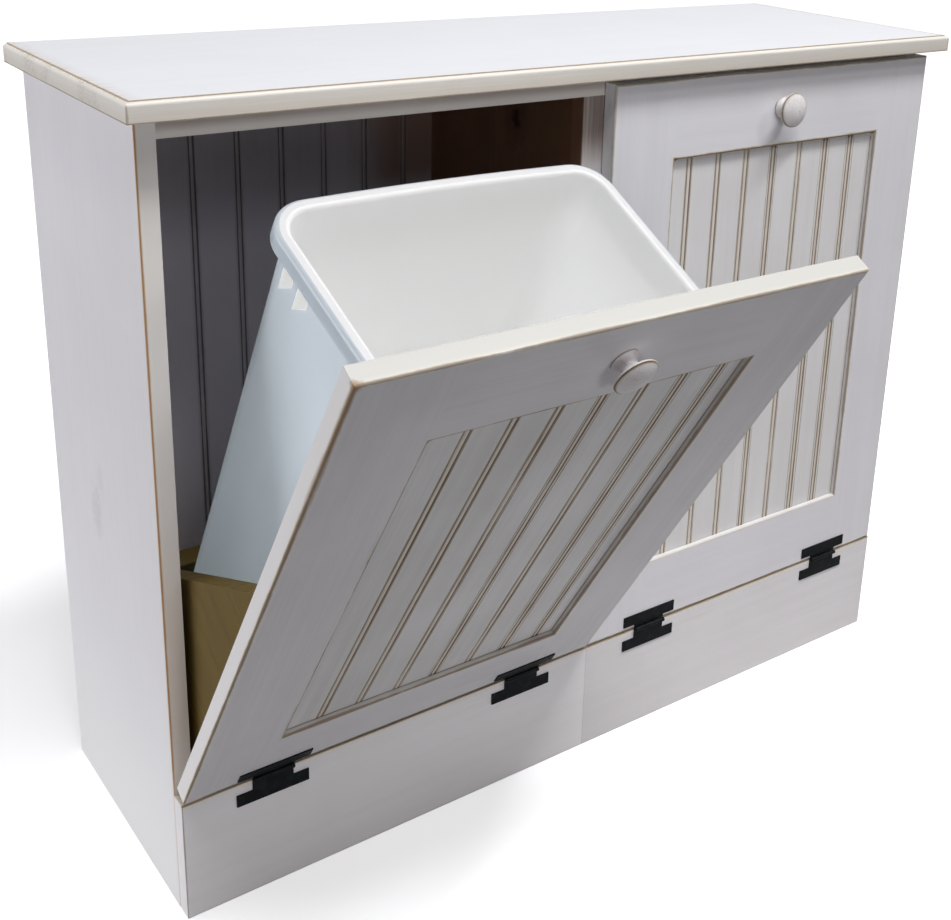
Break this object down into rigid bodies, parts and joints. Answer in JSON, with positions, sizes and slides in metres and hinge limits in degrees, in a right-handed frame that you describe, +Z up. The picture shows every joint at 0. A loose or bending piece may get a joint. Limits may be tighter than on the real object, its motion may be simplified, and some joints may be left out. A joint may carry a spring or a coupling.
{
  "type": "tilt-out trash cabinet",
  "caption": "Free-standing double cabinet with beaded doors that tilt out on surface hinges, each carrying a tray with a loose waste bin.",
  "frame": {"origin": "on the floor, at the centre of the cabinet's footprint with both doors shut", "axes": "+X to the right of someone who faces the doors, -Y out of the doors, +Z up"},
  "size_m": [1.037, 0.6849, 0.838],
  "materials": {
    "case_paint": "satin white paint, rubbed through to brown glaze at the arrises",
    "top_paint": "satin white paint with a brown glaze line along the routed edge",
    "door_paint": "satin white paint with brown glaze in the grooves",
    "knob_paint": "satin white paint",
    "bare_pine": "bare stained pine",
    "tray_pine": "bare pine",
    "white_plastic": "satin moulded plastic",
    "black_iron": "matt black",
    "screw_steel": "matt black"
  },
  "bodies": {
    "cabinet": {"back_panel": "case_paint", "bottom_board": "bare_pine", "centre_stile": "case_paint", "left_back_rail": "bare_pine", "left_base_board": "case_paint", "left_base_hinge_leaves": "black_iron", "left_base_hinge_screws": "screw_steel", "left_divider": "bare_pine", "left_hinge_pins": "black_iron", "left_inner_stop_cleat": "tray_pine", "left_outer_stop_cleat": "tray_pine", "left_side_board": "case_paint", "right_back_rail": "bare_pine", "right_base_board": "case_paint", "right_base_hinge_leaves": "black_iron", "right_base_hinge_screws": "screw_steel", "right_divider": "bare_pine", "right_hinge_pins": "black_iron", "right_inner_stop_cleat": "tray_pine", "right_outer_stop_cleat": "tray_pine", "right_side_board": "case_paint", "top_board": "top_paint", "top_rail": "case_paint", "top_screws": "screw_steel"},
    "left_door": {"left_door_bottom_rail": "door_paint", "left_door_hinge_leaves": "black_iron", "left_door_hinge_screws": "screw_steel", "left_door_panel": "door_paint", "left_door_stile_left": "door_paint", "left_door_stile_right": "door_paint", "left_door_top_rail": "door_paint", "left_knob": "knob_paint", "left_knob_screw": "screw_steel", "left_tray_back_strip": "tray_pine", "left_tray_floor": "tray_pine", "left_tray_front_strip": "tray_pine", "left_tray_side_left": "tray_pine", "left_tray_side_right": "tray_pine"},
    "right_door": {"right_door_bottom_rail": "door_paint", "right_door_hinge_leaves": "black_iron", "right_door_hinge_screws": "screw_steel", "right_door_panel": "door_paint", "right_door_stile_left": "door_paint", "right_door_stile_right": "door_paint", "right_door_top_rail": "door_paint", "right_knob": "knob_paint", "right_knob_screw": "screw_steel", "right_tray_back_strip": "tray_pine", "right_tray_floor": "tray_pine", "right_tray_front_strip": "tray_pine", "right_tray_side_left": "tray_pine", "right_tray_side_right": "tray_pine"},
    "left_bin": {"left_bin": "white_plastic"},
    "right_bin": {"right_bin": "white_plastic"}
  },
  "joints": [
    {"name": "left_door_tilt", "type": "hinge", "parent": "cabinet", "child": "left_door", "pos_m": [-0.2505, -0.16565, 0.1375], "axis": [1, 0, 0], "range_deg": [-32.1, 0]},
    {"name": "right_door_tilt", "type": "hinge", "parent": "cabinet", "child": "right_door", "pos_m": [0.2505, -0.16565, 0.1375], "axis": [1, 0, 0], "range_deg": [0, 32.1]},
    {"name": "left_bin_lift", "type": "slide", "parent": "left_door", "child": "left_bin", "axis": [0, -0.5314, 0.8471], "range_m": [0, 0.04]},
    {"name": "right_bin_lift", "type": "slide", "parent": "right_door", "child": "right_bin", "axis": [0, 0, 1], "range_m": [0, 0.04]}
  ]
}
